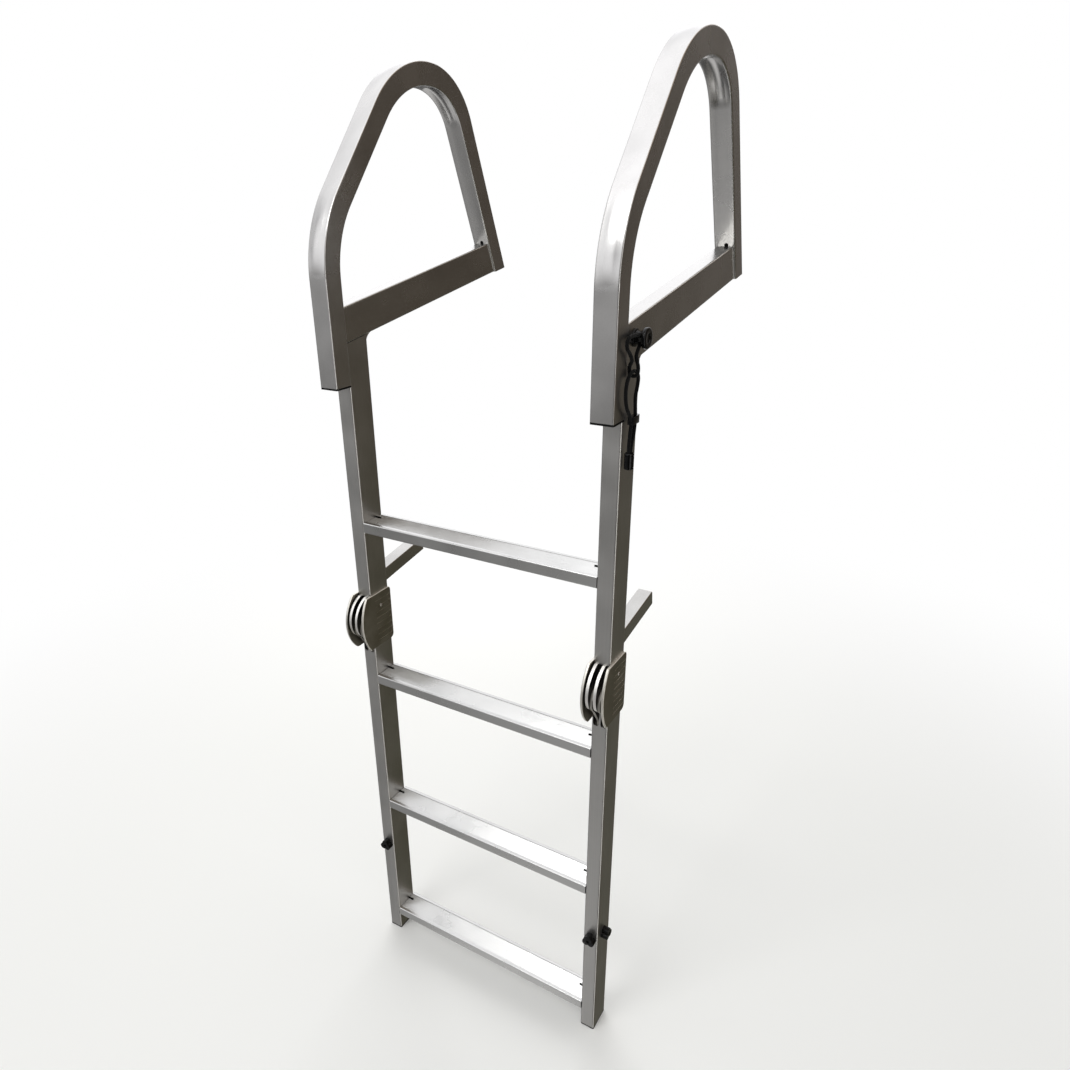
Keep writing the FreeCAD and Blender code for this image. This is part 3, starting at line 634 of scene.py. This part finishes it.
def makeRibs(step, body):
    low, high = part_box(step)
    deep = high.y - low.y - 2 * ribs["lip"] * mm
    wide = high.x - low.x - 2 * ribs["endGap"] * mm
    ribCount = round(deep / (ribs["pitch"] * mm))
    toothCount = round(wide / (ribs["toothPitch"] * mm))
    floor = high.z - (ribs["recess"] - ribs["above"]) * mm
    middle = Vector(((low.x + high.x) / 2, (low.y + high.y) / 2, floor))
    startPiece()
    bpy.ops.mesh.primitive_grid_add(x_subdivisions=2 * toothCount, y_subdivisions=2 * ribCount, size=1,
                                    location=middle)
    bpy.ops.transform.resize(value=(wide, deep, 1), center_override=middle)
    editPiece()
    rowStep = deep / (2 * ribCount)
    toothStep = wide / (2 * toothCount)

    def row(vert):
        return round((vert.co.y - middle.y + deep / 2) / rowStep)

    def tooth(vert):
        return round((vert.co.x - middle.x + wide / 2) / toothStep)

    choose("VERT", lambda vert: row(vert) % 2 == 1)
    bpy.ops.transform.translate(value=(0, 0, ribs["height"] * mm))
    choose("VERT", lambda vert: row(vert) % 2 == 1 and tooth(vert) % 2 == 1)
    bpy.ops.transform.translate(value=(0, 0, -ribs["notch"] * mm))
    choose("EDGE", lambda edge: edge.is_boundary)
    extrude((0, 0, -ribs["root"] * mm))
    bpy.ops.mesh.edge_face_add()
    piece = finishPiece(step + "_ribs", body, treadMetal, smooth=ribs["smooth"])


for step, body in steps.items():
    makeRibs(step, body)
print("tread ribs made")

# Drain slots near the treads' ends, each filled with a rounded black piece that stands a little proud; its
# black is painted shade for the slot's depth
slots = {"length": 13.0, "width": 3.8, "leftX": -219.0, "rightX": 210.5, "y": 34.6, "depth": 2.2,
         "proud": 1.2, "endRound": 0.49, "endSteps": 8, "rimWidth": 0.5, "rimRise": 0.4}


def makeSlotFill():
    middle = at(slots["leftX"], slots["y"], 0)
    middle.z = firstTread[1].z + (slots["proud"] - slots["depth"] / 2) * mm
    size = (slots["length"] * mm, slots["width"] * mm, slots["depth"] * mm)
    startPiece()
    bpy.ops.mesh.primitive_cube_add(size=1, location=middle)
    bpy.ops.transform.resize(value=size, center_override=middle)
    editPiece()
    choose("EDGE", lambda edge: abs(edge.verts[0].co.z - edge.verts[1].co.z) > slots["depth"] / 2 * mm)
    endRound = slots["width"] * slots["endRound"] * mm
    bpy.ops.mesh.bevel(offset=endRound, segments=slots["endSteps"], affect="EDGES")
    choose("FACE", lambda face: face.normal.z > modelling["facing"])
    bpy.ops.mesh.inset(thickness=slots["rimWidth"] * mm)
    bpy.ops.transform.translate(value=(0, 0, slots["rimRise"] * mm))
    closeShell()
    return finishPiece("step_1_left_slot", "upper_frame", shadeFill)


firstSlotFill = makeSlotFill()
span = (slots["rightX"] - slots["leftX"]) * mm
for step, body in steps.items():
    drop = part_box(step)[1].z - firstTread[1].z
    if step != "step_1":
        copyPiece(firstSlotFill, step + "_left_slot", Vector((0, 0, drop)), body)
    copyPiece(firstSlotFill, step + "_right_slot", Vector((span, 0, drop)), body)

# Vent holes at the foot of each handrail's rear leg, just over the arm: dark discs let in level with the
# tube, their black a painted shade for the holes' depth
vents = {"left": -237.0, "right": 241.0, "y": 427.9, "z": 1413.2, "way": (0, -0.9199, -0.392), "sides": 24,
         "profile": [(-0.5, 3.4), (0.1, 3.4), (0.12, 0.4)]}
for side in ("left", "right"):
    foot = at(vents[side], vents["y"], vents["z"])
    turnPiece(foot, Vector(vents["way"]), vents["profile"], sides=vents["sides"])
    finishPiece(side + "_vent_hole", "upper_frame", shadeFill)

# Rivets in the hinge covers
rivets = {"profile": [(-0.6, 3.2), (0.0, 3.2), (0.5, 3.1), (0.9, 2.7), (1.2, 2.0), (1.35, 1.2), (1.4, 0.4)],
          "y": 24.0, "z": 810.0, "sides": 24}
for side in ("left", "right"):
    for part in ("outer", "inner"):
        way = 1 if (side == "right") == (part == "outer") else -1
        low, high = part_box(side + "_" + part + "_hinge_cover")
        foot = at(0, rivets["y"], rivets["z"])
        foot.x = high.x if way > 0 else low.x
        turnPiece(foot, Vector((way, 0, 0)), rivets["profile"], sides=rivets["sides"])
        rivet = finishPiece(side + "_" + part + "_rivet", "upper_frame", steel)
print("slot fills, vents and rivets made")

# Floor: pale, and white far from the ladder
white = {"colour": "#ffffff", "level": 1.0}
paleFloor = {
    "colour": "#f4f4f2", "roughness": 0.9,
    "size": 16.0,                   # metres
    "place": (0, 200, -3.2), "fadeAround": (0, 100, -3.2),
    "fade": (0.9, 2.6),             # metres
}


def makeFloor():
    startPiece()
    bpy.ops.mesh.primitive_plane_add(size=paleFloor["size"], location=at(*paleFloor["place"]))
    floor = bpy.context.object
    bpy.ops.object.transform_apply(location=True, rotation=True, scale=True)
    floor.name = "floor"
    floor.visible_glossy = False
    material, tree, shader = newMaterial("pale floor", {"Base Color": colour(paleFloor["colour"]),
                                                        "Roughness": paleFloor["roughness"]})
    place = addNode(tree, "TexCoord").outputs["Object"]
    fromFoot = addNode(tree, "Mapping", {"Location": -at(*paleFloor["fadeAround"])}, {"Vector": place})
    far = addNode(tree, "VectorMath", {"operation": "LENGTH"}, {0: fromFoot}).outputs["Value"]
    low, high = paleFloor["fade"]
    fade = addNode(tree, "MapRange", {"interpolation_type": "SMOOTHSTEP", "From Min": low, "From Max": high},
                   {"Value": far})
    seen = addNode(tree, "LightPath").outputs["Is Camera Ray"]
    share = addNode(tree, "Math", {"operation": "MULTIPLY"}, {0: fade, 1: seen})
    glow = addNode(tree, "Emission", {"Color": colour(white["colour"]), "Strength": white["level"]})
    mix = addNode(tree, "MixShader", {}, {0: share, 1: shader, 2: glow})
    tree.links.new(mix.outputs[0], tree.nodes["Material Output"].inputs["Surface"])
    floor.data.materials.append(material)


makeFloor()
print("floor laid")

# Studio round the ladder, as its metal mirrors it: dark below and on the right, bright above. x, y and z are
# how far a direction leans to the right, the back and the zenith. A pair is where a change starts and ends.
studio = {
    "plain": "#f6f6f5", "plainLevel": 0.72,     # what matt surfaces are lit by, from all round
    "below": 0.355, "above": 2.05, "horizon": (-0.11, 0.13),
    "right": {"x": (-0.05, 0.46), "share": 0.30, "rise": 0.55},
    "farRight": {"x": (0.42, 0.65), "share": 0.09},
    "farLeft": {"x": (-0.78, -0.68), "share": 0.75},
    "overhead": {"z": (0.42, 0.60), "share": 0.84},
    "zenith": {"z": (0.72, 0.86), "share": 0.20},
    "ground": {"way": (-0.25, -0.68, -0.69), "spread": (0.90, 0.985), "level": 0.70},
    "floorStrips": {"middles": (-0.33, -0.79), "width": (0.14, 0.05), "share": (0.25, 3.4),
                    "x": (0.2, 0.0), "y": (-0.62, -0.42), "z": (-0.15, -0.35)},
    "frontBands": [{"way": (-0.384, -0.923, 0.0), "spread": (0.968, 0.996)},
                   {"way": (-0.719, -0.695, 0.0), "spread": (0.968, 0.996)}],
    "front": {"share": (0.42, 0.94), "y": (-0.1, -0.5), "z": (0.8, 0.55)},
    "edgeStrip": {"way": (0.82, -0.57, 0.0), "spread": (0.93, 0.985), "level": 1.9},
    "tints": {"below": "#f4f3f3", "above": "#f2f2f5", "right": "#f3dfca", "rightBelow": "#efe8c6",
              "rightFade": (-0.45, -0.1)},
}


# In front, a broad light that dims to its sides, and right of it a narrow one that draws the tubes' edges
def addFrontLights(tree, way, parts, level):
    front, strip = studio["front"], studio["edgeStrip"]
    flat = addNode(tree, "VectorMath", {"operation": "MULTIPLY", 1: (1, 1, 0)}, {0: way})
    compass = addNode(tree, "VectorMath", {"operation": "NORMALIZE"}, {0: flat})
    lights = []
    for light in studio["frontBands"] + [strip]:
        toward = addNode(tree, "VectorMath", {"operation": "DOT_PRODUCT", 1: light["way"]}, {0: compass})
        low, high = light["spread"]
        lights.append(addNode(tree, "MapRange", {"interpolation_type": "SMOOTHSTEP", "From Min": low,
                                                 "From Max": high}, {"Value": toward.outputs["Value"]}))
    nearBand = addNode(tree, "Math", {"operation": "MAXIMUM"}, {0: lights[0], 1: lights[1]})
    low, high = front["share"]
    band = addNode(tree, "MapRange", {"To Min": low, "To Max": high}, {"Value": nearBand})
    low, high = front["y"]
    ahead = addNode(tree, "MapRange", {"interpolation_type": "SMOOTHSTEP", "From Min": low, "From Max": high},
                    {"Value": parts.outputs["Y"]})
    low, high = front["z"]
    under = addNode(tree, "MapRange", {"interpolation_type": "SMOOTHSTEP", "From Min": low, "From Max": high},
                    {"Value": parts.outputs["Z"]})
    there = addNode(tree, "Math", {"operation": "MULTIPLY"}, {0: ahead, 1: under})
    share = addNode(tree, "Mix", {2: 1.0}, {0: there, 3: band})
    dimmed = addNode(tree, "Math", {"operation": "MULTIPLY"}, {0: level, 1: share})
    edge = addNode(tree, "Math", {"operation": "MULTIPLY", 1: strip["level"]}, {0: lights[2]})
    return addNode(tree, "Math", {"operation": "MAXIMUM"}, {0: dimmed, 1: edge}), lights[2]


# Behind and below, two narrow strips in the dark, which the sunken inside of each rear bend draws out
def addFloorStrips(tree, parts, level):
    strips = studio["floorStrips"]
    lights = []
    for middle in strips["middles"]:
        away = addNode(tree, "Math", {"operation": "SUBTRACT", 1: middle}, {0: parts.outputs["X"]})
        apart = addNode(tree, "Math", {"operation": "ABSOLUTE"}, {0: away})
        low, high = strips["width"]
        lights.append(addNode(tree, "MapRange", {"interpolation_type": "SMOOTHSTEP", "From Min": low,
                                                 "From Max": high}, {"Value": apart}))
    nearest = addNode(tree, "Math", {"operation": "MAXIMUM"}, {0: lights[0], 1: lights[1]})
    low, high = strips["share"]
    strip = addNode(tree, "MapRange", {"To Min": low, "To Max": high}, {"Value": nearest})
    sides = []
    for axis in ("x", "y", "z"):
        low, high = strips[axis]
        sides.append(addNode(tree, "MapRange", {"interpolation_type": "SMOOTHSTEP", "From Min": low,
                                                "From Max": high}, {"Value": parts.outputs[axis.upper()]}))
    there = addNode(tree, "Math", {"operation": "MULTIPLY"}, {0: sides[1], 1: sides[2]})
    there = addNode(tree, "Math", {"operation": "MULTIPLY"}, {0: there, 1: sides[0]})
    share = addNode(tree, "Mix", {2: 1.0}, {0: there, 3: strip})
    return addNode(tree, "Math", {"operation": "MULTIPLY"}, {0: level, 1: share})


# How bright the studio is in each direction, how high it lies and how far to the right
def addStudioLevel(tree, way, parts):
    low, high = studio["right"]["x"]
    right = addNode(tree, "MapRange", {"interpolation_type": "SMOOTHSTEP", "From Min": low, "From Max": high},
                    {"Value": parts.outputs["X"]})
    lowered = addNode(tree, "Math", {"operation": "MULTIPLY_ADD", 1: -studio["right"]["rise"]},
                      {0: right, 2: parts.outputs["Z"]})
    low, high = studio["horizon"]
    rise = addNode(tree, "MapRange", {"interpolation_type": "SMOOTHSTEP", "From Min": low, "From Max": high},
                   {"Value": lowered})
    height = addNode(tree, "MapRange", {"To Min": studio["below"], "To Max": studio["above"]},
                     {"Value": rise})
    dimmed = addNode(tree, "MapRange", {"To Min": 1.0, "To Max": studio["right"]["share"]}, {"Value": right})
    low, high = studio["farRight"]["x"]
    share = studio["farRight"]["share"]
    farRight = addNode(tree, "MapRange", {"From Min": low, "From Max": high, "To Max": share},
                       {"Value": parts.outputs["X"]})
    raised = addNode(tree, "Math", {"operation": "ADD"}, {0: dimmed, 1: farRight})
    level = addNode(tree, "Math", {"operation": "MULTIPLY"}, {0: height, 1: raised})
    low, high = studio["overhead"]["z"]
    share = studio["overhead"]["share"]
    overhead = addNode(tree, "MapRange", {"interpolation_type": "SMOOTHSTEP", "From Min": low,
                                          "From Max": high, "To Min": 1.0, "To Max": share},
                       {"Value": parts.outputs["Z"]})
    low, high = studio["zenith"]["z"]
    share = studio["zenith"]["share"]
    zenith = addNode(tree, "MapRange", {"interpolation_type": "SMOOTHSTEP", "From Min": low,
                                        "From Max": high, "To Max": share}, {"Value": parts.outputs["Z"]})
    aloft = addNode(tree, "Math", {"operation": "ADD"}, {0: overhead, 1: zenith})
    low, high = studio["farLeft"]["x"]
    share = studio["farLeft"]["share"]
    farLeft = addNode(tree, "MapRange", {"interpolation_type": "SMOOTHSTEP", "From Min": low,
                                         "From Max": high, "To Min": share, "To Max": 1.0},
                      {"Value": parts.outputs["X"]})
    aloft = addNode(tree, "Math", {"operation": "MULTIPLY"}, {0: aloft, 1: farLeft})
    level = addNode(tree, "Math", {"operation": "MULTIPLY"}, {0: level, 1: aloft})
    ground = studio["ground"]
    low, high = ground["spread"]
    floorWay = addNode(tree, "VectorMath", {"operation": "DOT_PRODUCT", 1: ground["way"]}, {0: way})
    gain = ground["level"] - studio["below"]
    nearFloor = addNode(tree, "MapRange", {"interpolation_type": "SMOOTHSTEP", "From Min": low,
                                           "From Max": high, "To Max": gain},
                        {"Value": floorWay.outputs["Value"]})
    level = addNode(tree, "Math", {"operation": "ADD"}, {0: level, 1: nearFloor})
    return level, rise, right


# Matt surfaces are lit evenly, metal mirrors the studio, and the camera sees white
def makeSky():
    world = bpy.data.worlds.new("studio")
    world.use_nodes = True
    bpy.context.scene.world = world
    tree = world.node_tree
    tree.nodes.clear()
    way = addNode(tree, "TexCoord").outputs["Generated"]
    parts = addNode(tree, "SeparateXYZ", {}, {0: way})
    level, rise, right = addStudioLevel(tree, way, parts)
    level = addFloorStrips(tree, parts, level)
    level, strip = addFrontLights(tree, way, parts, level)
    tints = studio["tints"]
    warmth = addNode(tree, "Math", {"operation": "SUBTRACT", "use_clamp": True}, {0: right, 1: strip})
    tint = mixColours(tree, rise, tints["below"], tints["above"])
    low, high = tints["rightFade"]
    fade = addNode(tree, "MapRange", {"From Min": low, "From Max": high}, {"Value": parts.outputs["Z"]})
    rightTint = mixColours(tree, fade, tints["rightBelow"], tints["right"])
    warm = addNode(tree, "Mix", {"data_type": "RGBA"}, {0: warmth, 6: tint, 7: rightTint})
    mirrored = addNode(tree, "Background", {}, {"Color": warm.outputs[2], "Strength": level})
    plain = addNode(tree, "Background", {"Color": colour(studio["plain"]), "Strength": studio["plainLevel"]})
    backdrop = addNode(tree, "Background", {"Color": colour(white["colour"]), "Strength": white["level"]})
    seen = addNode(tree, "LightPath")
    metal = addNode(tree, "MixShader", {}, {0: seen.outputs["Is Glossy Ray"], 1: plain, 2: mirrored})
    clear = addNode(tree, "Math", {"operation": "MAXIMUM"},
                    {0: seen.outputs["Is Camera Ray"], 1: seen.outputs["Is Transmission Ray"]})
    mix = addNode(tree, "MixShader", {}, {0: clear, 1: metal, 2: backdrop})
    addNode(tree, "OutputWorld", {}, {"Surface": mix})


makeSky()
print("studio lit")

# Soft studio lamps: places in mm, sizes in metres
lampAim = (0, 100, 900)
lamps = {
    "softbox, back left": {"place": (-1500, 2300, 2100), "size": 2.4, "watts": 40.0, "mirrored": False},
    "softbox, high front": {"place": (-500, -1700, 3300), "size": 1.1, "watts": 24.0, "mirrored": True},
}


def addSoftbox(name, spec):
    bpy.ops.object.light_add(type="AREA", location=at(*spec["place"]))
    lamp = bpy.context.object
    lamp.name = name
    aimWay = at(*lampAim) - at(*spec["place"])
    lamp.rotation_euler = aimWay.to_track_quat("-Z", "Y").to_euler()
    lamp.data.shape = "SQUARE"
    lamp.data.size = spec["size"]
    lamp.data.energy = spec["watts"]
    lamp.visible_camera = False
    lamp.visible_glossy = spec["mirrored"]


for name, spec in lamps.items():
    addSoftbox(name, spec)
bpy.context.scene.view_settings.view_transform = "Standard"
print("lamps set")
